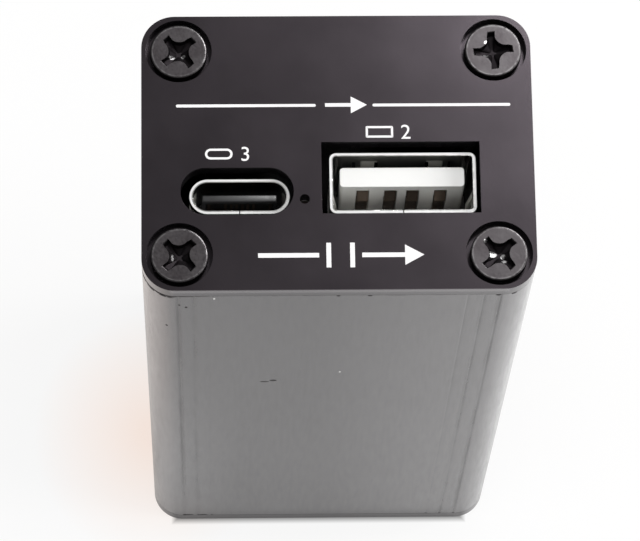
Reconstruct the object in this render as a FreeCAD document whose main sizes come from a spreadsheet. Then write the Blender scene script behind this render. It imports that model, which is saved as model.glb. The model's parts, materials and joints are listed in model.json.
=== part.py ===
import FreeCAD, Part
import os
import re
import Sketcher

# A ground loop isolator for a USB lead: an extruded aluminium case that stands on its in plate,
# with the out plate on top. X runs across the case, Y is up from the circuit board, and Z runs
# along the case from the in plate's outer face, where the origin is, to the out plate.
# All sizes are millimetres, and the angles are degrees.
SIZES = {
    # case
    "case_width": 35.0,
    "case_depth": 26.0,
    "case_length": 75.0,
    "case_corner": 3.0,
    "wall": 1.5,
    "groove_first": 11.4,
    "groove_pitch": 1.45,
    "groove_count": 3,
    "groove_width": 0.3,
    "groove_depth": 0.12,
    # end plates
    "plate_thickness": 1.5,
    # screws and the channels they cut their thread in
    "screw_inset": 3.35,
    "screw_size": 3.0,
    "screw_length": 8.0,
    "head_width": 5.1,
    "head_height": 1.0,
    "head_sink": 0.08,
    "head_gap": 0.43,
    "hole_gap": 0.1,
    "thread_gap": 0.05,
    "channel_wall": 0.9,
    "channel_mouth": 1.2,
    "recess_reach": 1.63,
    "recess_tip": 0.75,
    "recess_waist": 0.78,
    "recess_waist_flat": 0.62,
    "recess_depth": 1.1,
    "turn_1": 43.0,
    "turn_2": 8.0,
    "turn_3": 47.0,
    "turn_4": 44.0,
    # circuit board and its slots in the case
    "board_over_channel": 0.2,
    "board_thickness": 1.6,
    "board_side_gap": 0.2,
    "board_end_gap": 0.15,
    "slot_depth": 1.5,
    "slot_gap": 0.1,
    "rib": 1.0,
    "leg_reach": 0.8,
    "leg_gap": 0.15,
    # what all the ports share
    "port_setback": 1.3,
    "port_shift": 0.22,
    "cutout_lift": 0.07,
    "shell_sheet": 0.3,
    "shell_seam": 0.1,
    "mould_gap": 0.05,
    # large port
    "usb_a_share": 0.16,
    "usb_a_width": 13.1,
    "usb_a_height": 5.7,
    "usb_a_length": 14.0,
    "usb_a_corner": 0.6,
    "usb_a_gap": 0.52,
    "usb_a_leg_width": 2.0,
    "usb_a_leg_front": 5.2,
    "usb_a_leg_rear": 12.0,
    "usb_a_block": 3.5,
    "usb_a_block_gap": 0.1,
    "tongue_front": 2.55,
    "tongue_rise": 2.92,
    "tongue_side": 0.95,
    "tongue_thickness": 1.84,
    "tongue_corner": 0.35,
    "contact_slot_start": 1.0,
    "contact_slot_width": 1.15,
    "contact_slot_depth": 0.6,
    "contact_inner": 1.0,
    "contact_outer": 3.5,
    "contact_width": 1.0,
    "contact_sheet": 0.3,
    "contact_inset": 0.3,
    "contact_lead": 0.8,
    "contact_bow": 2.0,
    "contact_proud": 0.25,
    "contact_tail_out": 0.9,
    "contact_hole": 1.2,
    "spring_across": 3.3,
    "spring_width": 1.7,
    "spring_slit": 0.3,
    "spring_start": 2.9,
    "spring_knee": 3.4,
    "spring_length": 5.2,
    "spring_dip": 0.42,
    "spring_rise": 0.1,
    # small ports
    "usb_c_out_share": -0.2571,
    "usb_c_in_across": 0.0,
    "usb_c_width": 8.94,
    "usb_c_height": 3.26,
    "usb_c_length": 7.3,
    "usb_c_gap": 0.57,
    "usb_c_leg_width": 0.9,
    "usb_c_leg_front": 3.4,
    "usb_c_leg_rear": 7.4,
    "usb_c_leg_reach": 0.2,
    "usb_c_block": 2.0,
    "blade_front": 1.8,
    "blade_side": 1.125,
    "blade_thickness": 0.7,
    "blade_contact_start": 0.5,
    "blade_tray_side": 0.345,
    "blade_contact_pitch": 0.5,
    "blade_contact_width": 0.25,
    "blade_contact_sheet": 0.12,
    "blade_tail_lower": 0.3,
    "blade_tail_upper": 0.95,
    # power lamp
    "lamp_web_share": 0.614,
    "lamp_rise": 0.92,
    "lamp_hole": 0.9,
    "lamp_width": 1.6,
    "lamp_height": 1.6,
    "lamp_depth": 1.0,
    "lamp_step": 0.25,
    "lens_size": 0.7,
    "lens_length": 0.3,
    # leads of the surface parts
    "lead_sheet": 0.2,
    "lead_out": 0.3,
    "part_standoff": 0.1,
    # signal isolator across the barrier; shares of the case's width give places across it, and
    # shares of the room between a port's back and the barrier give places along it
    "barrier_slot": 1.2,
    "isolator_share": 0.1857,
    "isolator_width": 10.3,
    "isolator_depth": 7.5,
    "isolator_height": 2.2,
    "isolator_pitch": 1.27,
    "isolator_lead_width": 0.41,
    "isolator_lead_count": 8,
    # isolated supply across the barrier
    "module_share": -0.2143,
    "module_width": 6.0,
    "module_depth": 19.5,
    "module_height": 9.8,
    "module_standoff": 0.4,
    "module_pin_pitch": 2.54,
    "module_pin_width": 0.5,
    "module_pin_sheet": 0.25,
    "module_pin_offset": 1.8,
    "module_pin_hole": 0.9,
    # storage capacitors
    "can_in_share": -0.2286,
    "can_out_share": -0.2286,
    "can_in_room_share": 0.352,
    "can_out_room_share": 0.817,
    "can_size": 6.3,
    "can_top": 7.7,
    "can_base_width": 6.6,
    "can_base_height": 0.9,
    "can_base_cut": 1.3,
    # regulators
    "regulator_in_share": 0.1857,
    "regulator_in_room_share": 0.4545,
    "regulator_out_share": 0.1571,
    "regulator_out_room_share": 0.618,
    "regulator_width": 6.5,
    "regulator_depth": 3.5,
    "regulator_height": 1.6,
    "regulator_pitch": 2.3,
    "regulator_lead_width": 0.7,
    "regulator_lead_count": 3,
    "regulator_tab_width": 3.0,
    # surge arrays
    "surge_in_share": 0.1429,
    "surge_in_room_share": 0.1306,
    "surge_out_share": 0.0914,
    "surge_out_room_share": 0.874,
    "surge_width": 2.9,
    "surge_depth": 1.6,
    "surge_height": 1.1,
    "surge_pitch": 0.95,
    "surge_lead_width": 0.4,
    "surge_lead_count": 3,
    # common-mode chokes
    "choke_in_share": 0.0,
    "choke_in_room_share": 0.1476,
    "choke_out_share": -0.0429,
    "choke_out_room_share": 0.861,
    "choke_width": 4.5,
    "choke_depth": 3.2,
    "choke_height": 2.8,
    "choke_flange": 0.9,
    "choke_lid": 0.6,
    "choke_waist": 0.5,
    # power inductors
    "inductor_in_share": 0.0,
    "inductor_in_room_share": 0.4204,
    "inductor_out_share": -0.0457,
    "inductor_out_room_share": 0.552,
    "inductor_width": 4.0,
    "inductor_height": 2.1,
    # ceramic capacitors and resistors, in rows
    "ceramic_in_share": 0.0971,
    "ceramic_in_room_share": 0.693,
    "ceramic_out_share": 0.0971,
    "ceramic_out_room_share": 0.362,
    "ceramic_pitch": 2.1,
    "ceramic_count": 4,
    "ceramic_width": 1.25,
    "ceramic_depth": 2.0,
    "ceramic_height": 0.85,
    "resistor_in_share": -0.2171,
    "resistor_in_room_share": 0.0965,
    "resistor_out_aside": 0.67,
    "resistor_out_back": 13.4,
    "resistor_pitch": 1.7,
    "resistor_count": 2,
    "resistor_width": 0.8,
    "resistor_depth": 1.6,
    "resistor_height": 0.45,
}

doc = FreeCAD.newDocument("ground_loop_isolator")
sheet = doc.addObject("Spreadsheet::Sheet", "Dims")
for row, (alias, number) in enumerate(SIZES.items(), start=1):
    sheet.set(f"A{row}", alias)
    sheet.set(f"B{row}", str(number))
    sheet.setAlias(f"B{row}", alias)
doc.recompute()

# Places that several pieces share, as sums of the sheet's sizes.
FACE = "(case_length + 2 * plate_thickness)"
BARRIER = f"({FACE} / 2)"
SCREW_X = "(case_width / 2 - screw_inset)"
SCREW_Y = "(case_depth / 2 - screw_inset)"
CHANNEL_RADIUS = "(screw_size / 2 + thread_gap + channel_wall)"
BOARD_DROP = f"({SCREW_Y} - {CHANNEL_RADIUS} - board_over_channel - board_thickness)"
BOARD_TOP = f"(0 - {BOARD_DROP})"
SCREW_SIDES = [(-1, 1), (1, 1), (-1, -1), (1, -1)]
SCREW_PLACES = [(f"{x} * {SCREW_X}", f"{y} * {SCREW_Y}") for x, y in SCREW_SIDES]
USB_A_CUTOUT_X = "(usb_a_share * case_width)"
USB_A_X = f"({USB_A_CUTOUT_X} + port_shift)"
USB_A_REAR = "(port_setback + usb_a_length)"
USB_C_REAR = "(port_setback + usb_c_length)"
USB_C_OUT_CUTOUT_X = "(usb_c_out_share * case_width)"
USB_C_OUT_X = f"({USB_C_OUT_CUTOUT_X} + port_shift)"
USB_A_CUTOUT_EDGE = f"({USB_A_CUTOUT_X} - usb_a_width / 2 - usb_a_gap)"
USB_C_CUTOUT_EDGE = f"({USB_C_OUT_CUTOUT_X} + usb_c_width / 2 + usb_c_gap)"
LAMP_X = f"({USB_A_CUTOUT_EDGE} + lamp_web_share * ({USB_C_CUTOUT_EDGE} - {USB_A_CUTOUT_EDGE}))"
IN_PORT_BACK = f"({USB_C_REAR} + blade_tail_upper + blade_contact_sheet)"
OUT_PORT_BACK = f"({FACE} - {USB_A_REAR} - contact_tail_out - contact_sheet / 2)"
USB_A_CONTACTS = ["-contact_outer", "-contact_inner", "contact_inner", "contact_outer"]
BLADE_STEPS = [-5.5, -2.5, -1.5, -0.5, 0.5, 1.5, 2.5, 5.5]
MODULE_PIN_STEPS = [-3, -2, 1, 3]
WORD = re.compile(r"[a-z]\w*")


def value(text):
    """The number that a sum of the sheet's sizes comes to."""
    return float(sheet.evalExpression(text))


def count(alias):
    return int(value(alias))


def tie(item, setting, text):
    """Bind one setting of an object to a sum of the sheet's sizes."""
    linked = WORD.sub(lambda word: "Dims." + word[0] if word[0] in SIZES else word[0], text)
    item.setExpression(setting, linked)


def new_body(label, x="0", y="0", z="0", turn=0.0, flipped=False):
    """An empty body; a flipped one looks out of the in plate instead of the out plate."""
    made = doc.addObject("PartDesign::Body", label)
    made.Label = label
    turned = FreeCAD.Rotation(FreeCAD.Vector(0, 0, 1), turn)
    faced = FreeCAD.Rotation(FreeCAD.Vector(0, 1, 0), 180 if flipped else 0)
    made.Placement = FreeCAD.Placement(FreeCAD.Vector(), faced * turned)
    tie(made, "Placement.Base.x", x)
    tie(made, "Placement.Base.y", y)
    tie(made, "Placement.Base.z", z)
    return made


def on_board(label, across, along):
    """An empty body whose floor, at Y zero, is the top of the board."""
    return new_body(label, across, BOARD_TOP, along)


def across_case(kind):
    return f"({kind}_share * case_width)"


def along_case(kind, side):
    """A part's place between the back of its side's port and the barrier."""
    if side == "in":
        return f"({IN_PORT_BACK} + {kind}_in_room_share * ({BARRIER} - {IN_PORT_BACK}))"
    return f"({BARRIER} + {kind}_out_room_share * ({OUT_PORT_BACK} - {BARRIER}))"


def sketch_on(body, plane, rise="0"):
    """An empty sketch on one of the body's own planes, moved along that plane's normal."""
    made = body.newObject("Sketcher::SketchObject", f"{body.Label}_sketch")
    support = next(flat for flat in body.Origin.OriginFeatures if flat.Role == plane)
    made.AttachmentSupport = [(support, "")]
    made.MapMode = "FlatFace"
    tie(made, "AttachmentOffset.Base.z", rise)
    return made


def hold(sketch, edge, point, x, y):
    """Tie one point of a sketch to its two coordinates."""
    for kind, place in (("DistanceX", x), ("DistanceY", y)):
        rule = sketch.addConstraint(Sketcher.Constraint(kind, -1, 1, edge, point, value(place)))
        tie(sketch, f"Constraints[{rule}]", place)


def join(sketch, edge, following):
    sketch.addConstraint(Sketcher.Constraint("Coincident", edge, 2, following, 1))


def draw_path(sketch, corners):
    """A closed outline of straight edges; each corner is a pair of sums."""
    spots = [FreeCAD.Vector(value(x), value(y), 0) for x, y in corners]
    first = sketch.GeometryCount
    total = len(corners)
    for here in range(total):
        sketch.addGeometry(Part.LineSegment(spots[here], spots[(here + 1) % total]))
    for here in range(total):
        join(sketch, first + here, first + (here + 1) % total)
        hold(sketch, first + here, 1, *corners[here])


def draw_rect(sketch, left, low, right, high):
    draw_path(sketch, [(left, low), (right, low), (right, high), (left, high)])


def draw_square(sketch, x, y, size):
    draw_rect(sketch, f"{x} - {size} / 2", f"{y} - {size} / 2", f"{x} + {size} / 2", f"{y} + {size} / 2")


def draw_circle(sketch, x, y, radius):
    centre = FreeCAD.Vector(value(x), value(y), 0)
    ring = sketch.addGeometry(Part.Circle(centre, FreeCAD.Vector(0, 0, 1), value(radius)))
    hold(sketch, ring, 3, x, y)
    rule = sketch.addConstraint(Sketcher.Constraint("Radius", ring, value(radius)))
    tie(sketch, f"Constraints[{rule}]", radius)


def add_arc(sketch, start, middle, end):
    """An arc through three points, which its neighbours in the sketch then hold."""
    spots = [FreeCAD.Vector(value(x), value(y), 0) for x, y in (start, middle, end)]
    return sketch.addGeometry(Part.Arc(*spots))


def draw_loop(sketch, edges):
    """A closed outline of straight edges joined by tangent arcs that run anticlockwise.

    Each item holds a straight edge's start and end, and a point on the arc that follows it.
    """
    lines = []
    arcs = []
    for here, (start, end, through) in enumerate(edges):
        spots = [FreeCAD.Vector(value(x), value(y), 0) for x, y in (start, end)]
        lines.append(sketch.addGeometry(Part.LineSegment(*spots)))
        following = edges[(here + 1) % len(edges)][0]
        arcs.append(add_arc(sketch, end, through, following))
    for here, (start, end, _) in enumerate(edges):
        hold(sketch, lines[here], 1, *start)
        hold(sketch, lines[here], 2, *end)
        sketch.addConstraint(Sketcher.Constraint("Tangent", lines[here], 2, arcs[here], 1))
        join(sketch, arcs[here], lines[(here + 1) % len(edges)])


def draw_rounded(sketch, left, low, right, high, radius):
    """A rectangle with round corners."""
    slack = f"{radius} * (1 - sqrt(0.5))"
    draw_loop(sketch, [
        ((f"{left} + {radius}", low), (f"{right} - {radius}", low),
         (f"{right} - {slack}", f"{low} + {slack}")),
        ((right, f"{low} + {radius}"), (right, f"{high} - {radius}"),
         (f"{right} - {slack}", f"{high} - {slack}")),
        ((f"{right} - {radius}", high), (f"{left} + {radius}", high),
         (f"{left} + {slack}", f"{high} - {slack}")),
        ((left, f"{high} - {radius}"), (left, f"{low} + {radius}"),
         (f"{left} + {slack}", f"{low} + {slack}")),
    ])


def draw_obround(sketch, left, low, right, high):
    """A slot shape whose two ends are half circles."""
    radius = f"({high} - ({low})) / 2"
    middle = f"({high} + {low}) / 2"
    draw_loop(sketch, [
        ((f"{left} + {radius}", low), (f"{right} - {radius}", low), (right, middle)),
        ((f"{right} - {radius}", high), (f"{left} + {radius}", high), (left, middle)),
    ])


def extrude(kind, body, sketch, length, side, backwards):
    made = body.newObject(f"PartDesign::{kind}", f"{body.Label}_{kind.lower()}")
    made.Profile = sketch
    made.SideType = side
    made.Reversed = backwards
    if length is None:
        made.Type = "ThroughAll"
    else:
        tie(made, "Length", length)
    sketch.Visibility = False
    return made


def pad(body, sketch, length, side="One side", backwards=False):
    return extrude("Pad", body, sketch, length, side, backwards)


def pocket(body, sketch, length=None, side="One side", backwards=False):
    """A cut that starts against the sketch's normal, right through unless it has a length."""
    return extrude("Pocket", body, sketch, length, side, backwards)


def repeat(body, feature, occurrences, pitch):
    """A row of copies of a feature along X."""
    row = body.newObject("PartDesign::LinearPattern", f"{body.Label}_row")
    row.Originals = [feature]
    row.Direction = (feature.Profile[0], ["N_Axis"])
    row.Mode = "Spacing"
    tie(row, "Offset", pitch)
    tie(row, "Occurrences", occurrences)
    body.Tip = row
    return row


def block(body, width, depth, height, rise="0"):
    """A block on the board, its width across the case and its depth along it."""
    floor = sketch_on(body, "XZ_Plane", f"-({rise})")
    draw_rect(floor, f"-{width} / 2", f"-{depth} / 2", f"{width} / 2", f"{depth} / 2")
    return pad(body, floor, height, backwards=True)


# The case and its two plates

def make_case_tube():
    case = new_body("case_tube", z="plate_thickness")
    section = sketch_on(case, "XY_Plane")
    draw_rounded(section, "-case_width / 2", "-case_depth / 2", "case_width / 2",
                 "case_depth / 2", "case_corner")
    draw_rounded(section, "-case_width / 2 + wall", "-case_depth / 2 + wall",
                 "case_width / 2 - wall", "case_depth / 2 - wall", "(case_corner - wall)")
    pad(case, section, "case_length")
    bosses = sketch_on(case, "XY_Plane")
    for x, y in SCREW_PLACES:
        draw_circle(bosses, x, y, CHANNEL_RADIUS)
    pad(case, bosses, "case_length")
    cut_board_slots(case)
    bores = sketch_on(case, "XY_Plane")
    for x, y in SCREW_PLACES:
        draw_circle(bores, x, y, "screw_size / 2 + thread_gap")
    pocket(case, bores, side="Symmetric")
    cut_channel_mouths(case)
    cut_grooves(case)


def cut_board_slots(case):
    """Pairs of ribs on the side walls that hold the board, and their mirror above the centre."""
    ribs = sketch_on(case, "XY_Plane")
    tip = "(case_width / 2 - wall - slot_depth)"
    root = "(case_width / 2 - wall / 2)"
    under = f"({BOARD_DROP} + board_thickness + slot_gap)"
    over = f"({BOARD_DROP} - slot_gap)"
    for side in (-1, 1):
        for level in (-1, 1):
            draw_rect(ribs, f"{side} * {tip}", f"{level} * {under}",
                      f"{side} * {root}", f"{level} * ({under} + rib)")
            draw_rect(ribs, f"{side} * {tip}", f"{level} * ({over} - rib)",
                      f"{side} * {root}", f"{level} * {over}")
    pad(case, ribs, "case_length")


def cut_channel_mouths(case):
    """Each screw channel is open towards the middle, as an extrusion die needs."""
    mouths = sketch_on(case, "XY_Plane")
    reach = f"({CHANNEL_RADIUS} + channel_wall)"
    for side, level in SCREW_SIDES:
        draw_rect(mouths, f"{side} * ({SCREW_X} - {reach})", f"{level} * {SCREW_Y} - channel_mouth / 2",
                  f"{side} * {SCREW_X}", f"{level} * {SCREW_Y} + channel_mouth / 2")
    pocket(case, mouths, side="Symmetric")


def cut_grooves(case):
    """Fine grooves along both broad faces, close to the corners."""
    grooves = sketch_on(case, "XY_Plane")
    floor = "(case_depth / 2 - groove_depth)"
    clear = "(case_depth / 2 + groove_depth)"
    for side in (-1, 1):
        for level in (-1, 1):
            for step in range(count("groove_count")):
                middle = f"{side} * (groove_first + {step} * groove_pitch)"
                draw_rect(grooves, f"{middle} - groove_width / 2", f"{level} * {floor}",
                          f"{middle} + groove_width / 2", f"{level} * {clear}")
    pocket(case, grooves, side="Symmetric")


def make_plate(label, z, flipped, draw_cutouts):
    """An end plate in its own frame, with its outer face at Z zero."""
    plate = new_body(label, z=z, flipped=flipped)
    outline = sketch_on(plate, "XY_Plane")
    draw_rounded(outline, "-case_width / 2", "-case_depth / 2", "case_width / 2",
                 "case_depth / 2", "case_corner")
    pad(plate, outline, "plate_thickness", backwards=True)
    cutouts = sketch_on(plate, "XY_Plane")
    draw_cutouts(cutouts)
    pocket(plate, cutouts)
    centres = sketch_on(plate, "XY_Plane")
    for x, y in SCREW_PLACES:
        draw_circle(centres, x, y, "screw_size / 2")
    doc.recompute()
    holes = plate.newObject("PartDesign::Hole", f"{label}_screw_holes")
    holes.Profile = centres
    holes.DepthType = "ThroughAll"
    holes.HoleCutType = "Counterbore"
    tie(holes, "Diameter", "screw_size + 2 * hole_gap")
    tie(holes, "HoleCutDiameter", "head_width + 2 * head_gap")
    tie(holes, "HoleCutDepth", "head_sink + head_height")


def draw_usb_c_cutout(sketch, across):
    low = f"{BOARD_TOP} + cutout_lift - usb_c_gap"
    draw_obround(sketch, f"{across} - usb_c_width / 2 - usb_c_gap", low,
                 f"{across} + usb_c_width / 2 + usb_c_gap", f"{low} + usb_c_height + 2 * usb_c_gap")


def draw_out_cutouts(sketch):
    low = f"{BOARD_TOP} + cutout_lift - usb_a_gap"
    draw_rect(sketch, USB_A_CUTOUT_EDGE, low, f"{USB_A_CUTOUT_X} + usb_a_width / 2 + usb_a_gap",
              f"{low} + usb_a_height + 2 * usb_a_gap")
    draw_usb_c_cutout(sketch, USB_C_OUT_CUTOUT_X)
    draw_circle(sketch, LAMP_X, f"{BOARD_TOP} + lamp_rise", "lamp_hole / 2")


def draw_in_cutouts(sketch):
    draw_usb_c_cutout(sketch, "usb_c_in_across")


def draw_cross(sketch):
    """The recess outline: four straight tips, joined by walls that bow towards the centre."""
    near = "(recess_waist * sqrt(0.5) - recess_waist_flat * sqrt(0.125))"
    far = "(recess_waist * sqrt(0.5) + recess_waist_flat * sqrt(0.125))"
    quarter = [("recess_reach", "recess_tip / 2"), (far, near), (near, far),
               ("recess_tip / 2", "recess_reach")]
    turns = [(1, 0), (0, 1), (-1, 0), (0, -1)]
    draw_path(sketch, [(f"{x} * {along} - {y} * {across}", f"{y} * {along} + {x} * {across}")
                       for x, y in turns for along, across in quarter])


def make_screw(label, x, y, z, turn, flipped):
    """A flat-headed screw in its own frame, with the plate's outer face at Z zero."""
    screw = new_body(label, x, y, z, value(turn), flipped)
    profile = sketch_on(screw, "XZ_Plane")
    seat = "(0 - head_sink - head_height)"
    draw_path(profile, [
        ("0", "-screw_length"),
        ("screw_size / 2", "-screw_length"),
        ("screw_size / 2", seat),
        ("head_width / 2", seat),
        ("head_width / 2", "-head_sink"),
        ("0", "-head_sink"),
    ])
    turned = screw.newObject("PartDesign::Revolution", f"{label}_turned")
    turned.Profile = profile
    turned.ReferenceAxis = (profile, ["V_Axis"])
    recess = sketch_on(screw, "XY_Plane", "-head_sink")
    draw_cross(recess)
    pocket(screw, recess, "recess_depth")


def make_screws():
    for number, (x, y) in enumerate(SCREW_PLACES, start=1):
        make_screw(f"out_screw_{number}", x, y, FACE, f"turn_{number}", False)
        make_screw(f"in_screw_{number}", x, y, "0", f"turn_{number}", True)


# The circuit board

def draw_leg_slots(sketch, across, width, leg_width, legs):
    """Slots for the legs of a port's shell."""
    for side in (-1, 1):
        for along in legs:
            draw_rect(sketch, f"{across} + {side} * ({width} / 2 - shell_sheet - leg_gap)",
                      f"{along} - {leg_width} / 2 - leg_gap",
                      f"{across} + {side} * ({width} / 2 + leg_gap)",
                      f"{along} + {leg_width} / 2 + leg_gap")


def make_circuit_board():
    board = new_body("circuit_board", y=BOARD_TOP)
    outline = sketch_on(board, "XZ_Plane")
    side = "(case_width / 2 - wall - board_side_gap)"
    low = "plate_thickness + board_end_gap"
    draw_rect(outline, f"-{side}", low, side, f"{FACE} - ({low})")
    pad(board, outline, "board_thickness")
    cuts = sketch_on(board, "XZ_Plane")
    draw_leg_slots(cuts, USB_A_X, "usb_a_width", "usb_a_leg_width",
                   [f"{FACE} - usb_a_leg_front", f"{FACE} - usb_a_leg_rear"])
    draw_leg_slots(cuts, USB_C_OUT_X, "usb_c_width", "usb_c_leg_width",
                   [f"{FACE} - usb_c_leg_front", f"{FACE} - usb_c_leg_rear"])
    draw_leg_slots(cuts, "usb_c_in_across", "usb_c_width", "usb_c_leg_width",
                   ["usb_c_leg_front", "usb_c_leg_rear"])
    for contact in USB_A_CONTACTS:
        draw_square(cuts, f"{USB_A_X} + {contact}", f"{FACE} - {USB_A_REAR} - contact_tail_out",
                    "contact_hole")
    for step in MODULE_PIN_STEPS:
        draw_square(cuts, f"{across_case('module')} - module_pin_offset",
                    f"{BARRIER} + {step} * module_pin_pitch", "module_pin_hole")
    middle = across_case("isolator")
    draw_rect(cuts, f"{middle} - isolator_width / 2", f"{BARRIER} - barrier_slot / 2",
              f"{middle} + isolator_width / 2", f"{BARRIER} + barrier_slot / 2")
    pocket(board, cuts, side="Symmetric")


# The large port, in a frame with the plate's outer face at Z zero and the board at Y zero

def cut_seam(shell):
    """The folded sheet meets in the middle of its floor."""
    seam = sketch_on(shell, "XY_Plane")
    draw_rect(seam, "-shell_seam / 2", "-shell_sheet", "shell_seam / 2", "2 * shell_sheet")
    pocket(shell, seam)


def add_legs(shell, width, height, leg_width, reach, legs):
    """Legs bent straight down from both sides of a shell, through the board and out under it."""
    for side in (-1, 1):
        flank = sketch_on(shell, "YZ_Plane", f"{side} * {width} / 2")
        for along in legs:
            draw_rect(flank, f"-board_thickness - {reach}", f"-{along} - {leg_width} / 2",
                      height, f"-{along} + {leg_width} / 2")
        pad(shell, flank, "shell_sheet", backwards=side > 0)


def draw_spring(sketch, wall, inward):
    """A leaf cut from a wall: its root is near the mouth, and its knee bends into the port."""
    outer = [
        ("0", "-spring_start + shell_sheet"),
        ("0", "-spring_start"),
        ("spring_dip", "-spring_start - spring_knee"),
        ("spring_rise", "-spring_start - spring_length"),
    ]
    inner = [(f"{depth} + shell_sheet", along) for depth, along in reversed(outer)]
    draw_path(sketch, [(f"{wall} + {inward} * ({depth})", along) for depth, along in outer + inner])


def draw_spring_window(sketch, middle):
    draw_rect(sketch, f"{middle} - spring_width / 2 - spring_slit",
              "-spring_start - spring_length - spring_slit",
              f"{middle} + spring_width / 2 + spring_slit", "-spring_start")


def add_springs(shell):
    """Two springs in the roof, two in the floor and one in each side."""
    window = sketch_on(shell, "XZ_Plane")
    for side in (-1, 1):
        draw_spring_window(window, f"{side} * spring_across")
    pocket(shell, window, side="Symmetric")
    window = sketch_on(shell, "YZ_Plane")
    draw_spring_window(window, "usb_a_height / 2")
    pocket(shell, window, side="Symmetric")
    for side in (-1, 1):
        leaves = sketch_on(shell, "YZ_Plane", f"{side} * spring_across")
        draw_spring(leaves, "usb_a_height", -1)
        draw_spring(leaves, "0", 1)
        pad(shell, leaves, "spring_width", side="Symmetric")
    leaves = sketch_on(shell, "XZ_Plane", "-usb_a_height / 2")
    draw_spring(leaves, "usb_a_width / 2", -1)
    draw_spring(leaves, "0 - usb_a_width / 2", 1)
    pad(shell, leaves, "spring_width", side="Symmetric")


def make_usb_a_shell():
    shell = new_body("usb_a_shell", USB_A_X, BOARD_TOP, FACE)
    mouth = sketch_on(shell, "XY_Plane", "-port_setback")
    draw_rounded(mouth, "-usb_a_width / 2", "0", "usb_a_width / 2", "usb_a_height", "usb_a_corner")
    draw_rounded(mouth, "-usb_a_width / 2 + shell_sheet", "shell_sheet",
                 "usb_a_width / 2 - shell_sheet", "usb_a_height - shell_sheet",
                 "(usb_a_corner - shell_sheet)")
    pad(shell, mouth, "usb_a_length", backwards=True)
    cut_seam(shell)
    add_springs(shell)
    add_legs(shell, "usb_a_width", "2 * usb_a_corner", "usb_a_leg_width", "leg_reach",
             ["usb_a_leg_front", "usb_a_leg_rear"])


def make_usb_a_insulator():
    """A moulded block at the back of the shell, with the contact tongue standing out of it."""
    insulator = new_body("usb_a_insulator", USB_A_X, BOARD_TOP, FACE)
    rear = sketch_on(insulator, "XY_Plane", f"-{USB_A_REAR}")
    inset = "(shell_sheet + usb_a_block_gap)"
    draw_rect(rear, f"-usb_a_width / 2 + {inset}", inset, f"usb_a_width / 2 - {inset}",
              f"usb_a_height - {inset}")
    pad(insulator, rear, "usb_a_block")
    front = sketch_on(insulator, "XY_Plane", "-tongue_front")
    draw_rounded(front, "-usb_a_width / 2 + tongue_side", "tongue_rise",
                 "usb_a_width / 2 - tongue_side", "tongue_rise + tongue_thickness", "tongue_corner")
    pad(insulator, front, f"{USB_A_REAR} - usb_a_block - tongue_front", backwards=True)
    slots = sketch_on(insulator, "XY_Plane", "-tongue_front - contact_slot_start")
    for middle in USB_A_CONTACTS:
        draw_rect(slots, f"{middle} - contact_slot_width / 2", "tongue_rise - contact_slot_depth",
                  f"{middle} + contact_slot_width / 2", "tongue_rise + contact_slot_depth")
    pocket(insulator, slots)


def make_usb_a_contact(label, middle):
    """A strip that lies on its slot's floor, bows out to meet the plug and drops to the board."""
    contact = new_body(label, f"{USB_A_X} + {middle}", BOARD_TOP, FACE)
    flank = sketch_on(contact, "YZ_Plane")
    floor = "(tongue_rise + contact_slot_depth)"
    crest = "(tongue_rise + contact_sheet - contact_proud)"
    tip = "(0 - tongue_front - contact_slot_start - contact_inset)"
    tail = f"(0 - {USB_A_REAR} - contact_tail_out)"
    foot = "-board_thickness - leg_reach"
    draw_path(flank, [
        (floor, tip),
        (floor, f"{tip} - contact_lead"),
        (crest, f"{tip} - contact_lead - contact_bow / 2"),
        (floor, f"{tip} - contact_lead - contact_bow"),
        (floor, f"{tail} - contact_sheet / 2"),
        (foot, f"{tail} - contact_sheet / 2"),
        (foot, f"{tail} + contact_sheet / 2"),
        (f"{floor} - contact_sheet", f"{tail} + contact_sheet / 2"),
        (f"{floor} - contact_sheet", f"{tip} - contact_lead - contact_bow"),
        (f"{crest} - contact_sheet", f"{tip} - contact_lead - contact_bow / 2"),
        (f"{floor} - contact_sheet", f"{tip} - contact_lead"),
        (f"{floor} - contact_sheet", tip),
    ])
    pad(contact, flank, "contact_width", side="Symmetric")


# The small ports, in the same kind of frame

def make_usb_c_shell(label, across, z, flipped):
    shell = new_body(label, across, BOARD_TOP, z, flipped=flipped)
    mouth = sketch_on(shell, "XY_Plane", "-port_setback")
    draw_obround(mouth, "-usb_c_width / 2", "0", "usb_c_width / 2", "usb_c_height")
    draw_obround(mouth, "-usb_c_width / 2 + shell_sheet", "shell_sheet",
                 "usb_c_width / 2 - shell_sheet", "usb_c_height - shell_sheet")
    pad(shell, mouth, "usb_c_length", backwards=True)
    cut_seam(shell)
    add_legs(shell, "usb_c_width", "usb_c_height / 2", "usb_c_leg_width", "usb_c_leg_reach",
             ["usb_c_leg_front", "usb_c_leg_rear"])


def blade_rows():
    """The outer and inner face of the contacts on each side of the blade."""
    middle = "usb_c_height / 2"
    return [
        (f"{middle} + blade_thickness / 2", f"{middle} + blade_thickness / 2 - blade_contact_sheet"),
        (f"{middle} - blade_thickness / 2 + blade_contact_sheet", f"{middle} - blade_thickness / 2"),
    ]


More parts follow.
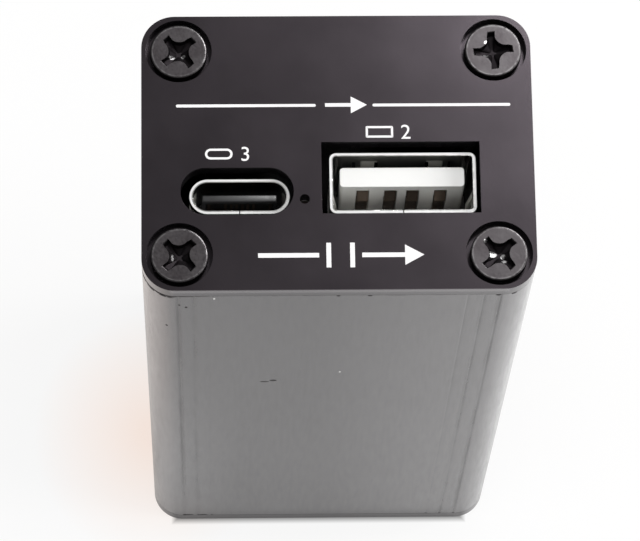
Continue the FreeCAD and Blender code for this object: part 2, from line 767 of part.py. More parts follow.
def make_usb_c_insulator(label, across, z, flipped):
    """A block that fills the back of the shell, and the thin blade that carries the contacts."""
    insulator = new_body(label, across, BOARD_TOP, z, flipped=flipped)
    rear = sketch_on(insulator, "XY_Plane", f"-{USB_C_REAR}")
    inset = "(shell_sheet + mould_gap)"
    draw_obround(rear, f"-usb_c_width / 2 + {inset}", inset,
                 f"usb_c_width / 2 - {inset}", f"usb_c_height - {inset}")
    pad(insulator, rear, "usb_c_block")
    front = sketch_on(insulator, "XY_Plane", "-blade_front")
    draw_rect(front, "-usb_c_width / 2 + blade_side", "usb_c_height / 2 - blade_thickness / 2",
              "usb_c_width / 2 - blade_side", "usb_c_height / 2 + blade_thickness / 2")
    pad(insulator, front, f"{USB_C_REAR} - usb_c_block - blade_front", backwards=True)
    grooves = sketch_on(insulator, "XY_Plane", "-blade_front - blade_contact_start")
    edge = "(usb_c_width / 2 - blade_side - blade_tray_side)"
    for high, low in blade_rows():
        draw_rect(grooves, f"-{edge}", low, edge, high)
    pocket(insulator, grooves)


def make_usb_c_contacts(label, across, z, flipped):
    """Two rows of strips let into the blade, each bent down to the board at the back."""
    contacts = new_body(label, across, BOARD_TOP, z, flipped=flipped)
    tip = "-blade_front - blade_contact_start"
    for (high, low), out in zip(blade_rows(), ("blade_tail_upper", "blade_tail_lower")):
        drop = f"(0 - {USB_C_REAR} - {out})"
        for step in BLADE_STEPS:
            flank = sketch_on(contacts, "YZ_Plane", f"{step} * blade_contact_pitch")
            draw_path(flank, [
                (high, tip),
                (high, f"{drop} - blade_contact_sheet"),
                ("0", f"{drop} - blade_contact_sheet"),
                ("0", drop),
                (low, drop),
                (low, tip),
            ])
            pad(contacts, flank, "blade_contact_width", side="Symmetric")


def make_ports():
    make_usb_a_shell()
    make_usb_a_insulator()
    for number, middle in enumerate(USB_A_CONTACTS, start=1):
        make_usb_a_contact(f"usb_a_contact_{number}", middle)
    for name, across, z, flipped in (("out", USB_C_OUT_X, FACE, False),
                                     ("in", "usb_c_in_across", "0", True)):
        make_usb_c_shell(f"usb_c_{name}_shell", across, z, flipped)
        make_usb_c_insulator(f"usb_c_{name}_insulator", across, z, flipped)
        make_usb_c_contacts(f"usb_c_{name}_contacts", across, z, flipped)


def make_lamp():
    """The power lamp looks out of its pin hole from the edge of the board."""
    front = "(plate_thickness + board_end_gap + lamp_step)"
    base = new_body("lamp_body", LAMP_X, BOARD_TOP, FACE)
    outline = sketch_on(base, "XY_Plane", f"-{front}")
    draw_rect(outline, "-lamp_width / 2", "0", "lamp_width / 2", "lamp_height")
    pad(base, outline, "lamp_depth", backwards=True)
    lens = new_body("lamp_lens", LAMP_X, BOARD_TOP, FACE)
    outline = sketch_on(lens, "XY_Plane", f"-{front}")
    draw_square(outline, "0", "lamp_rise", "lens_size")
    pad(lens, outline, "lens_length")


# The parts on the board

def draw_lead(sketch, kind, side):
    """A bent lead: out of the moulding at half height, then straight down to the board."""
    rise = f"(part_standoff + {kind}_height / 2)"
    start = f"{kind}_depth / 2"
    knee = f"({kind}_depth / 2 + lead_out)"
    path = [
        (f"{rise} + lead_sheet", start),
        (f"{rise} + lead_sheet", f"{knee} + lead_sheet"),
        ("0", f"{knee} + lead_sheet"),
        ("0", knee),
        (rise, knee),
        (rise, start),
    ]
    draw_path(sketch, [(up, f"{side} * ({along})") for up, along in path])


def make_moulded_part(label, kind, across, along):
    """A moulded body that stands just clear of the board on its leads."""
    part = on_board(label, across, along)
    block(part, f"{kind}_width", f"{kind}_depth", f"{kind}_height", "part_standoff")
    return part


def make_lead_rows(label, kind, across, along, sides):
    """Rows of leads, the same number on each of the sides named."""
    leads = on_board(label, across, along)
    first = f"0 - ({kind}_lead_count - 1) / 2 * {kind}_pitch"
    flank = sketch_on(leads, "YZ_Plane", first)
    for side in sides:
        draw_lead(flank, kind, side)
    seed = pad(leads, flank, f"{kind}_lead_width", side="Symmetric")
    repeat(leads, seed, f"{kind}_lead_count", f"{kind}_pitch")
    return leads


def make_isolator():
    across = across_case("isolator")
    make_moulded_part("isolator_chip", "isolator", across, BARRIER)
    make_lead_rows("isolator_leads", "isolator", across, BARRIER, (-1, 1))


def make_power_module():
    """A potted supply that stands across the barrier on a single row of pins."""
    across = across_case("module")
    module = on_board("power_module", across, BARRIER)
    block(module, "module_width", "module_depth", "module_height", "module_standoff")
    pins = on_board("power_module_pins", f"{across} - module_pin_offset", BARRIER)
    tops = sketch_on(pins, "XZ_Plane", "-module_standoff")
    for step in MODULE_PIN_STEPS:
        draw_rect(tops, "-module_pin_sheet / 2", f"{step} * module_pin_pitch - module_pin_width / 2",
                  "module_pin_sheet / 2", f"{step} * module_pin_pitch + module_pin_width / 2")
    pad(pins, tops, "module_standoff + board_thickness + leg_reach")


def make_can(side):
    """A storage capacitor: a rolled aluminium can on a base with two cut corners."""
    across = across_case(f"can_{side}")
    along = along_case("can", side)
    base = on_board(f"can_base_{side}", across, along)
    floor = sketch_on(base, "XZ_Plane")
    half = "can_base_width / 2"
    draw_path(floor, [
        (f"-{half} + can_base_cut", f"-{half}"),
        (half, f"-{half}"),
        (half, half),
        (f"-{half} + can_base_cut", half),
        (f"-{half}", f"{half} - can_base_cut"),
        (f"-{half}", f"-{half} + can_base_cut"),
    ])
    pad(base, floor, "can_base_height", backwards=True)
    can = on_board(f"can_{side}", across, along)
    profile = sketch_on(can, "XY_Plane")
    radius = "can_size / 2"
    draw_path(profile, [
        ("0", "can_base_height"),
        (radius, "can_base_height"),
        (radius, "can_top"),
        ("0", "can_top"),
    ])
    spun = can.newObject("PartDesign::Revolution", f"can_{side}_spun")
    spun.Profile = profile
    spun.ReferenceAxis = (profile, ["V_Axis"])


def make_regulator(side):
    across = across_case(f"regulator_{side}")
    along = along_case("regulator", side)
    make_moulded_part(f"regulator_{side}", "regulator", across, along)
    leads = make_lead_rows(f"regulator_{side}_leads", "regulator", across, along, (-1,))
    flank = sketch_on(leads, "YZ_Plane")
    draw_lead(flank, "regulator", 1)
    pad(leads, flank, "regulator_tab_width", side="Symmetric")


def make_surge_array(side):
    across = across_case(f"surge_{side}")
    along = along_case("surge", side)
    make_moulded_part(f"surge_array_{side}", "surge", across, along)
    make_lead_rows(f"surge_array_{side}_leads", "surge", across, along, (-1, 1))


def make_choke(side):
    """A wound core between two flanges, under a flat lid."""
    choke = on_board(f"choke_{side}", across_case(f"choke_{side}"), along_case("choke", side))
    block(choke, "choke_width", "choke_depth", "choke_height")
    waist = sketch_on(choke, "XY_Plane")
    draw_rect(waist, "-choke_width / 2 + choke_flange", "-choke_lid",
              "choke_width / 2 - choke_flange", "choke_lid")
    pocket(choke, waist, side="Symmetric")
    for face in (-1, 1):
        flank = sketch_on(choke, "XY_Plane", f"{face} * choke_depth / 2")
        draw_rect(flank, "-choke_width / 2 + choke_flange", "choke_lid / 2",
                  "choke_width / 2 - choke_flange", "choke_height - choke_lid")
        pocket(choke, flank, "choke_waist", backwards=face < 0)


def make_inductor(side):
    """A moulded power inductor, a plain block of pressed iron powder."""
    inductor = on_board(f"inductor_{side}", across_case(f"inductor_{side}"),
                        along_case("inductor", side))
    block(inductor, "inductor_width", "inductor_width", "inductor_height")


def make_row(label, kind, across, along):
    """A row of small blocks across the board."""
    row = on_board(label, across, along)
    flank = sketch_on(row, "YZ_Plane")
    draw_rect(flank, "0", f"-{kind}_depth / 2", f"{kind}_height", f"{kind}_depth / 2")
    seed = pad(row, flank, f"{kind}_width", side="Symmetric")
    repeat(row, seed, f"{kind}_count", f"{kind}_pitch")


def make_board_parts():
    make_isolator()
    make_power_module()
    for side in ("in", "out"):
        make_can(side)
        make_regulator(side)
        make_surge_array(side)
        make_choke(side)
        make_inductor(side)
        make_row(f"ceramic_capacitors_{side}", "ceramic", across_case(f"ceramic_{side}"),
                 along_case("ceramic", side))
    make_row("resistors_in", "resistor", across_case("resistor_in"), along_case("resistor", "in"))
    beside = f"{USB_A_X} - usb_a_width / 2 - resistor_out_aside"
    make_row("resistors_out", "resistor", f"{beside} - (resistor_count - 1) * resistor_pitch",
             f"({FACE} - resistor_out_back)")


def solid_steps(body):
    """The body's features in order, without its sketches."""
    return [item for item in body.Group if item.isDerivedFrom("PartDesign::Feature")]


def check_body(body):
    """Stop if a piece is broken, or if a step of it adds or cuts nothing."""
    if body.Shape.isNull() or not body.Shape.isValid():
        raise RuntimeError(f"{body.Label} has no valid shape")
    before = 0.0
    for step in solid_steps(body):
        after = step.Shape.Volume
        if abs(after - before) < 1e-6:
            raise RuntimeError(f"{step.Label} changes nothing")
        cuts = step.TypeId in ("PartDesign::Pocket", "PartDesign::Hole")
        if cuts != (after < before):
            raise RuntimeError(f"{step.Label} works the wrong way")
        before = after


def write_parts():
    doc.recompute()
    for item in doc.Objects:
        if "Invalid" in item.State or "Error" in item.State:
            raise RuntimeError(f"{item.Label} is {item.State}")
    os.makedirs("parts", exist_ok=True)
    for body in doc.findObjects("PartDesign::Body"):
        check_body(body)
        body.Shape.exportStep(f"parts/{body.Label}.step")


make_case_tube()
make_plate("out_plate", FACE, False, draw_out_cutouts)
make_plate("in_plate", "0", True, draw_in_cutouts)
make_screws()
make_circuit_board()
make_ports()
make_lamp()
make_board_parts()
write_parts()
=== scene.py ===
import json
import math

import bmesh
import bpy
from mathutils import Matrix, Vector


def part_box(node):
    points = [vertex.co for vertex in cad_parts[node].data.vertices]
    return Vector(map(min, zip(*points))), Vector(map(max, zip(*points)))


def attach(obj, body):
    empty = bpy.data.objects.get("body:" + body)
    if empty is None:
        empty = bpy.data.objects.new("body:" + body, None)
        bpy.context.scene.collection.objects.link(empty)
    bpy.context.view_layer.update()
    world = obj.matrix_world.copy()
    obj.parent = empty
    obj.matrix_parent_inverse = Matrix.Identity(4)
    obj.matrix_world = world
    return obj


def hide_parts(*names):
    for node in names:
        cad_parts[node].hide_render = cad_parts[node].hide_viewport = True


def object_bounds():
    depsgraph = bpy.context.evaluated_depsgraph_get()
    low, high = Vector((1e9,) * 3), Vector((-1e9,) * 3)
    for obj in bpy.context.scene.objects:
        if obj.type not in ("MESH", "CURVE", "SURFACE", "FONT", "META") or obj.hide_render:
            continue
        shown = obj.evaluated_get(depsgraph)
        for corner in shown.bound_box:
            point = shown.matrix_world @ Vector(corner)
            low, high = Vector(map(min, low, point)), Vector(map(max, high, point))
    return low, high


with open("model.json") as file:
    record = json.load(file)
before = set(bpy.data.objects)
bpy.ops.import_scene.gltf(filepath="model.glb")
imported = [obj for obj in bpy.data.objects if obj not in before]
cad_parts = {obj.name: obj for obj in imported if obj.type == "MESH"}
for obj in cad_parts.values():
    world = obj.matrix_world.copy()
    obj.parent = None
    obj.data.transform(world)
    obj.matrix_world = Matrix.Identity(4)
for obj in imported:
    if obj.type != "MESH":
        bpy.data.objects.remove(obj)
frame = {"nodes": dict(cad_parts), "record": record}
CAD_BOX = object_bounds()
NODES = frame["nodes"]
MM = 0.001

# In millimetres: the out plate's face, the case's half depth and its two ends, the middles of
# the grooves beside the middle of its broad faces, and the thickness of the printed ink.
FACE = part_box("out_plate")[1].z / MM
HALF_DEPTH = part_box("case_tube")[1].y / MM
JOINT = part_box("case_tube")[1].z / MM
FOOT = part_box("case_tube")[0].z / MM
GROOVE_FIRST = 11.4
GROOVE_PITCH = 1.45
GROOVE_MIDDLES = [GROOVE_FIRST + GROOVE_PITCH * number for number in range(3)]
INK_THICKNESS = 0.02


# Materials

def new_finish(name, colour, roughness, metallic=0.0):
    """A material with its shader; returns both, and the node that gives places on the object."""
    finish = bpy.data.materials.new(name)
    finish.use_nodes = True
    nodes = finish.node_tree.nodes
    shader = nodes["Principled BSDF"]
    shader.inputs["Base Color"].default_value = (*colour, 1.0)
    shader.inputs["Roughness"].default_value = roughness
    shader.inputs["Metallic"].default_value = metallic
    places = nodes.new("ShaderNodeTexCoord")
    return finish, shader, places.outputs["Object"]


def node(finish, kind, **settings):
    made = finish.node_tree.nodes.new(kind)
    for key, setting in settings.items():
        setattr(made, key, setting)
    return made


def link(finish, source, target):
    finish.node_tree.links.new(source, target)


def noise(finish, places, scale, stretch=(1, 1, 1), detail=3.0, rough=0.55):
    """Noise whose features are about 1 / scale metres wide, stretched along the axes."""
    mapping = node(finish, "ShaderNodeMapping")
    mapping.inputs["Scale"].default_value = stretch
    link(finish, places, mapping.inputs["Vector"])
    texture = node(finish, "ShaderNodeTexNoise")
    texture.inputs["Scale"].default_value = scale
    texture.inputs["Detail"].default_value = detail
    texture.inputs["Roughness"].default_value = rough
    link(finish, mapping.outputs["Vector"], texture.inputs["Vector"])
    return texture.outputs["Fac"]


def span(finish, source, low, high, start, end):
    """The source's range from low to high, spread over start to end."""
    scaled = node(finish, "ShaderNodeMapRange", clamp=True)
    scaled.inputs["From Min"].default_value = low
    scaled.inputs["From Max"].default_value = high
    scaled.inputs["To Min"].default_value = start
    scaled.inputs["To Max"].default_value = end
    link(finish, source, scaled.inputs["Value"])
    return scaled.outputs["Result"]


def blend(finish, amount, first, second):
    """A colour between two others; each is a colour or another node's output."""
    mix = node(finish, "ShaderNodeMixRGB")
    link(finish, amount, mix.inputs["Fac"])
    for socket, value in ((mix.inputs["Color1"], first), (mix.inputs["Color2"], second)):
        if isinstance(value, tuple):
            socket.default_value = (*value, 1.0)
        else:
            link(finish, value, socket)
    return mix.outputs["Color"]


def calculate(finish, operation, first, second):
    """One sum of two values; each is a number or another node's output."""
    sums = node(finish, "ShaderNodeMath", operation=operation)
    for socket, value in zip(sums.inputs, (first, second)):
        if isinstance(value, (int, float)):
            socket.default_value = value
        else:
            link(finish, value, socket)
    return sums.outputs["Value"]


def bump(finish, shader, height, distance, strength=1.0):
    relief = node(finish, "ShaderNodeBump")
    relief.inputs["Distance"].default_value = distance
    relief.inputs["Strength"].default_value = strength
    link(finish, height, relief.inputs["Height"])
    link(finish, relief.outputs["Normal"], shader.inputs["Normal"])


def spot(finish, places, centre, radii, core=0.75):
    """One in an ellipsoid's core, falling to zero at its edge; its sizes are in millimetres."""
    mapping = node(finish, "ShaderNodeMapping", vector_type="TEXTURE")
    mapping.inputs["Location"].default_value = [value * MM for value in centre]
    mapping.inputs["Scale"].default_value = [value * MM for value in radii]
    link(finish, places, mapping.inputs["Vector"])
    reach = node(finish, "ShaderNodeVectorMath", operation="LENGTH")
    link(finish, mapping.outputs["Vector"], reach.inputs[0])
    return span(finish, reach.outputs["Value"], core, 1.0, 1.0, 0.0)


def apart(finish, value, place):
    """How far a value is from a place, on either side of it."""
    return calculate(finish, "ABSOLUTE", calculate(finish, "SUBTRACT", value, place), 0.0)


def distance(finish, across, along):
    """The length of a line from its two parts."""
    squares = [calculate(finish, "MULTIPLY", part, part) for part in (across, along)]
    return calculate(finish, "POWER", calculate(finish, "ADD", *squares), 0.5)


def band(finish, value, middle, half, soft):
    """One where a value in metres is near a middle, zero beyond; the sizes are in millimetres."""
    return span(finish, apart(finish, value, middle * MM), half * MM, (half + soft) * MM, 1.0, 0.0)


def strongest(finish, masks):
    """The largest of several masks."""
    total = masks[0]
    for mask in masks[1:]:
        total = calculate(finish, "MAXIMUM", total, mask)
    return total


def split(finish, places):
    """The three coordinates of a place."""
    parts = node(finish, "ShaderNodeSeparateXYZ")
    link(finish, places, parts.inputs["Vector"])
    return parts.outputs["X"], parts.outputs["Y"], parts.outputs["Z"]


# Dark nicks and scuffed spots on the case's front, and spots of painted shade in the gaps under
# the
# out plate and at the foot: each one's x and height, and its reach.
CASE_SCUFFS_AND_GAP_SHADE = [
    (-6.35, 50.3, (0.5, 0.5, 0.2)),
    (-5.55, 50.7, (0.4, 0.5, 0.3)),
    (-13.6, JOINT - 3.2, (0.16, 0.5, 0.3)),
    (-14.2, JOINT - 2.6, (0.12, 0.5, 0.22)),
    (-0.1, JOINT - 0.2, (0.2, 0.5, 0.2)),
    (2.7, JOINT - 0.2, (0.25, 0.5, 0.2)),
    (14.1, JOINT - 0.2, (0.3, 0.5, 0.25)),
    (15.5, JOINT - 0.2, (0.3, 0.9, 0.25)),
    (-15.4, 67.7, (0.14, 0.7, 0.25)),
    (-13.9, FOOT + 0.15, (0.65, 0.5, 0.28)),
    (-12.3, FOOT + 0.15, (0.5, 0.5, 0.25)),
]

# Pale specks on the case's front, in the same way.
CASE_SPECKS = [
    (0.69, 53.3, (0.12, 0.3, 0.2)),
    (-11.1, JOINT - 0.8, (0.12, 0.3, 0.25)),
]

# How strongly each groove shows as a dull line, from the inner to the outer one.
GROOVE_DULLNESS = (0.15, 0.65, 0.9)


def front_spots(finish, places, table):
    """The spots of a table on the case's front."""
    return strongest(finish, [spot(finish, places, (x, -HALF_DEPTH, z), radii)
                              for x, z, radii in table])


def dull_grooves(finish, places, x, y):
    """The dull, patchy lines that the grooves make on the front."""
    aside = apart(finish, x, 0.0)
    grooves = strongest(finish, [
        calculate(finish, "MULTIPLY", band(finish, aside, middle, 0.06, 0.28), dullness)
        for middle, dullness in zip(GROOVE_MIDDLES, GROOVE_DULLNESS)])
    front = span(finish, y, -(HALF_DEPTH - 0.4) * MM, -(HALF_DEPTH - 0.6) * MM, 1.0, 0.0)
    patchy = span(finish, noise(finish, places, 300, (1, 1, 0.3), 1.5), 0.38, 0.6, 0.35, 1.0)
    return calculate(finish, "MULTIPLY", calculate(finish, "MULTIPLY", grooves, front), patchy)


def joint_gap_shade(finish, places, x, z):
    """Painted shade: the dark broken line in the gap under the out plate, wide and ragged at the
    left front corner.
    """
    broken = span(finish, noise(finish, places, 420, (1, 1, 0.01), 3.0), 0.4, 0.62, 0.05, 0.4)
    open_side = span(finish, x, -16.5 * MM, -8 * MM, 1.0, 0.0)
    line = calculate(finish, "MULTIPLY", band(finish, z, JOINT, 0.15, 0.35),
                     calculate(finish, "MAXIMUM", broken, open_side))
    ragged = span(finish, noise(finish, places, 1400, (1, 1, 1), 3.0), 0.36, 0.5, 0.0, 1.0)
    open_corner = calculate(finish, "MULTIPLY", band(finish, z, JOINT - 0.1, 0.4, 0.3),
                            span(finish, x, -15.2 * MM, -14.2 * MM, 1.0, 0.0))
    return calculate(finish, "MAXIMUM", line, calculate(finish, "MULTIPLY", open_corner, ragged))


def black_anodised_case():
    """Black anodised extrusion: fine grain and die lines, dull grooves, scuffed spots and pale
    specks, and painted shade in the gaps under the out plate and at the foot.
    """
    finish, shader, places = new_finish("black_anodised_case", (0.014, 0.0135, 0.0142), 0.22)
    shader.inputs["Specular Tint"].default_value = (1.0, 0.92, 0.97, 1.0)
    grain = noise(finish, places, 2600, (1, 1, 0.12), 4.0)
    lines = noise(finish, places, 700, (1, 1, 0.004), 2.0)
    clouds = noise(finish, places, 90, (1, 1, 0.5), 3.0)
    x, y, z = split(finish, places)
    dull = dull_grooves(finish, places, x, y)
    rough = calculate(finish, "ADD", span(finish, grain, 0.3, 0.7, 0.19, 0.25),
                      span(finish, clouds, 0.3, 0.7, -0.02, 0.02))
    rough = calculate(finish, "ADD", rough, calculate(finish, "MULTIPLY", dull, 0.1))
    link(finish, span(finish, dull, 0.0, 1.0, 0.5, 0.36), shader.inputs["Specular IOR Level"])
    # Painted shade: the dark line in the joint's gap and dark spots in the gaps at the joint and
    # foot, with the real scuffs, darken the colour and raise the roughness.
    spot_scuffs_and_shade = calculate(finish, "MULTIPLY", front_spots(finish, places, CASE_SCUFFS_AND_GAP_SHADE), 0.75)
    scuffs_and_shade = calculate(finish, "MAXIMUM", joint_gap_shade(finish, places, x, z), spot_scuffs_and_shade)
    link(finish, calculate(finish, "MAXIMUM", rough, scuffs_and_shade), shader.inputs["Roughness"])
    colour = blend(finish, span(finish, clouds, 0.35, 0.65, 0.0, 1.0),
                   (0.012, 0.0115, 0.0122), (0.017, 0.0163, 0.0168))
    colour = blend(finish, front_spots(finish, places, CASE_SPECKS), colour, (0.5, 0.5, 0.48))
    colour = blend(finish, scuffs_and_shade, colour, (0.002, 0.002, 0.002))
    link(finish, colour, shader.inputs["Base Color"])
    relief = calculate(finish, "ADD", calculate(finish, "MULTIPLY", grain, 0.5), lines)
    bump(finish, shader, relief, 0.000008, 0.5)
    return finish


def black_anodised_plate():
    """Black anodised plate: matt, faint clouds, a painted reflection on the front side and a
    painted highlight along its outer edge.
    """
    finish, shader, places = new_finish("black_anodised_plate", (0.005, 0.0044, 0.0049), 0.22)
    shader.inputs["Specular IOR Level"].default_value = 0.27
    shader.inputs["Specular Tint"].default_value = (1.0, 0.86, 0.97, 1.0)
    tooth = noise(finish, places, 5200, (1, 1, 1), 2.0)
    clouds = noise(finish, places, 130, (1, 1, 1), 3.0)
    link(finish, span(finish, clouds, 0.3, 0.7, 0.21, 0.24), shader.inputs["Roughness"])
    colour = blend(finish, span(finish, clouds, 0.35, 0.65, 0.0, 1.0),
                   (0.0042, 0.0037, 0.0041), (0.0058, 0.0051, 0.0057))
    y, z = split(finish, places)[1:]
    # Painted reflection: the front side is paler, and a band near its outer edge is a painted
    # highlight.
    front = span(finish, y, -(HALF_DEPTH - 0.02) * MM, -(HALF_DEPTH - 0.07) * MM, 1.0, 0.0)
    edge = calculate(finish, "MULTIPLY", front, band(finish, z, FACE - 0.35, 0.2, 0.35))
    colour = blend(finish, front, colour, (0.022, 0.02, 0.021))
    colour = blend(finish, edge, colour, (0.1, 0.094, 0.097))
    fleck = spot(finish, places, (13.75, -12.45, FACE), (0.2, 0.1, 0.3))
    colour = blend(finish, fleck, colour, (0.6, 0.58, 0.58))
    link(finish, colour, shader.inputs["Base Color"])
    bump(finish, shader, tooth, 0.000003, 0.4)
    return finish


# Painted glints in the screws' recesses, as spots of uncoated steel: each place, its reach and how
# bare it is.
BARE_STEEL_GLINTS = [
    ((13.57, -9.56, FACE - 0.7), (0.5, 0.3, 0.6), 1.0),
    ((14.5, -9.75, FACE - 0.7), (0.25, 0.28, 0.6), 0.5),
    ((14.6, -10.2, FACE - 0.6), (0.3, 0.2, 0.5), 0.3),
    ((12.95, -8.45, FACE - 0.3), (0.25, 0.25, 0.3), 1.0),
    ((-13.75, 9.42, FACE - 0.7), (0.24, 0.2, 0.6), 0.25),
    ((-14.75, 9.38, FACE - 0.7), (0.3, 0.26, 0.6), 0.3),
    ((13.5, 10.4, FACE - 0.1), (0.16, 0.16, 0.3), 0.8),
    ((13.6, 9.4, FACE - 0.5), (0.45, 0.16, 0.5), 0.5),
    ((-14.75, -9.7, FACE - 0.7), (0.12, 0.4, 0.6), 0.3),
]


# The heads' rims are rubbed at this distance from their middles, by this share.
RUBBED_RADIUS = 2.4
RUBBED_SHARE = 0.035


def black_screw_steel():
    """Black oxide on steel, darker and rougher in the recesses as painted shade, with painted
    glints of uncoated steel there and rubbed along the heads' rims.
    """
    finish, shader, places = new_finish("black_screw_steel", (0.023, 0.021, 0.022), 0.34, 1.0)
    fine = noise(finish, places, 4200, (1, 1, 1), 3.0)
    clouds = noise(finish, places, 700, (1, 1, 1), 2.0)
    colour = blend(finish, span(finish, clouds, 0.35, 0.65, 0.0, 1.0),
                   (0.02, 0.018, 0.019), (0.026, 0.024, 0.025))
    x, y, z = split(finish, places)
    # Painted shade: the recesses below the heads' faces are darker and rougher.
    up_or_down = apart(finish, z, FACE / 2 * MM)
    sunk = span(finish, up_or_down, (FACE / 2 - 0.24) * MM, (FACE / 2 - 0.14) * MM, 1.0, 0.0)
    colour = blend(finish, sunk, colour, (0.011, 0.0095, 0.0105))
    link(finish, calculate(finish, "ADD", span(finish, fine, 0.3, 0.7, 0.3, 0.42),
                           calculate(finish, "MULTIPLY", sunk, 0.2)), shader.inputs["Roughness"])
    low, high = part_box("out_screw_1")
    middle = (low + high) / 2
    off = [calculate(finish, "SUBTRACT", apart(finish, value, 0.0), abs(centre))
           for value, centre in ((x, middle.x), (y, middle.y))]
    rim = band(finish, distance(finish, *off), RUBBED_RADIUS, 0.04, 0.1)
    # Painted glints: spots of uncoated steel in the recesses, with the rubbed rims.
    bare_steel_glints = strongest(finish, [calculate(finish, "MULTIPLY", rim, RUBBED_SHARE)] + [
        calculate(finish, "MULTIPLY", spot(finish, places, centre, radii), share)
        for centre, radii, share in BARE_STEEL_GLINTS])
    ragged = span(finish, noise(finish, places, 3000, (1, 1, 1), 3.0), 0.36, 0.56, 0.0, 1.0)
    bare_steel_glints = calculate(finish, "MULTIPLY", bare_steel_glints, ragged)
    link(finish, blend(finish, bare_steel_glints, colour, (0.75, 0.74, 0.74)), shader.inputs["Base Color"])
    bump(finish, shader, fine, 0.000008, 0.5)
    return finish


def plain_finish(name, colour, roughness, metallic, scale, depth, drift=0.12, specular=0.5):
    """A finish with fine tooth, and colour and roughness that drift a little."""
    finish, shader, places = new_finish(name, colour, roughness, metallic)
    shader.inputs["Specular IOR Level"].default_value = specular
    fine = noise(finish, places, scale, (1, 1, 1), 3.0)
    clouds = noise(finish, places, scale / 12, (1, 1, 1), 2.0)
    link(finish, span(finish, fine, 0.3, 0.7, roughness * 0.85, roughness * 1.15),
         shader.inputs["Roughness"])
    darker = tuple(value * (1 - drift) for value in colour)
    lighter = tuple(min(value * (1 + drift), 0.9) for value in colour)
    link(finish, blend(finish, span(finish, clouds, 0.35, 0.65, 0.0, 1.0), darker, lighter),
         shader.inputs["Base Color"])
    bump(finish, shader, fine, depth, 0.5)
    return finish


# The rims of the ports' shells, for the painted highlight along them: mount, width, height,
# corner, and the highlight line's distance in from the outside and half width, in millimetres.
PORT_RIM_HIGHLIGHTS = [
    ("usb_a_port", 13.1, 5.7, 0.6, 0.11, 0.08),
    ("usb_c_out_port", 8.94, 3.26, 1.63, 0.1, 0.088),
    ("usb_c_in_port", 8.94, 3.26, 1.63, 0.1, 0.088),
]


def rim_highlight_line(finish, x, y, port, width, height, corner, inside, half):
    """One on the painted highlight line on the rim of a port's shell, along its rounded outline.
    """
    centre = next(mount["pos_m"] for mount in frame["record"]["mounts"] if mount["name"] == port)
    past = []
    for value, place, size in ((x, centre[0], width), (y, centre[1], height)):
        beyond = calculate(finish, "SUBTRACT", apart(finish, value, place),
                           (size / 2 - corner) * MM)
        past.append(calculate(finish, "MAXIMUM", beyond, 0.0))
    return band(finish, distance(finish, *past), corner - inside, half, 0.05)


def nickel_shell_plate():
    """Nickel plate, with a painted highlight on the rims of the ports, bright on the springs, and
    darker elsewhere inside as painted shade.
    """
    finish, shader, places = new_finish("nickel_plate", (0.84, 0.84, 0.83), 0.18, 1.0)
    fine = noise(finish, places, 2500, (1, 1, 1), 3.0)
    x, y, z = split(finish, places)
    low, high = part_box("usb_a_shell")
    in_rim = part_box("usb_c_in_shell")[0].z
    # Painted highlight: a white, less metallic line along each port's rim at the shells' mouths.
    ends = calculate(finish, "MAXIMUM",
                     span(finish, z, high.z - 0.08 * MM, high.z - 0.04 * MM, 0.0, 1.0),
                     span(finish, z, in_rim + 0.04 * MM, in_rim + 0.08 * MM, 1.0, 0.0))
    lines = strongest(finish, [rim_highlight_line(finish, x, y, *rim) for rim in PORT_RIM_HIGHLIGHTS])
    rims = calculate(finish, "MULTIPLY", ends, lines)
    aside = apart(finish, x, (low.x + high.x) / 2)
    upright = band(finish, y, (low.y + high.y) / 2 / MM, 0.8, 0.1)
    at_side = calculate(finish, "MULTIPLY", upright,
                        span(finish, aside, 5.6 * MM, 5.8 * MM, 0.0, 1.0))
    leaves = calculate(finish, "MAXIMUM", band(finish, aside, 2.95, 0.65, 0.15), at_side)
    springs = calculate(finish, "MULTIPLY", leaves,
                        span(finish, z, high.z - 1.5 * MM, high.z - 1.1 * MM, 1.0, 0.0))
    # Painted shade: the shell is darker inside, except on the springs.
    colour = blend(finish, springs, (0.34, 0.34, 0.33), (0.86, 0.85, 0.8))
    colour = blend(finish, rims, colour, (0.93, 0.93, 0.92))
    link(finish, colour, shader.inputs["Base Color"])
    link(finish, span(finish, rims, 0.0, 1.0, 1.0, 0.15), shader.inputs["Metallic"])
    rough = span(finish, fine, 0.3, 0.7, 0.14, 0.2)
    rubbed = calculate(finish, "MULTIPLY", springs, 0.4)
    link(finish, calculate(finish, "ADD", rough, rubbed), shader.inputs["Roughness"])
    bump(finish, shader, fine, 0.000002, 0.5)
    return finish


def white_moulding():
    """White moulded plastic, darker further into the port as painted shade."""
    finish, shader, places = new_finish("white_moulding", (0.82, 0.82, 0.8), 0.38)
    fine = noise(finish, places, 1500, (1, 1, 1), 3.0)
    z = split(finish, places)[2]
    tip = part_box("usb_a_insulator")[1].z
    # Painted shade: darker further into the port.
    port_shade = span(finish, z, tip - 4.5 * MM, tip - 0.6 * MM, 1.0, 0.0)
    colour = blend(finish, port_shade, (0.82, 0.82, 0.8), (0.36, 0.35, 0.34))
    link(finish, colour, shader.inputs["Base Color"])
    link(finish, span(finish, fine, 0.3, 0.7, 0.33, 0.43), shader.inputs["Roughness"])
    bump(finish, shader, fine, 0.00001, 0.5)
    return finish


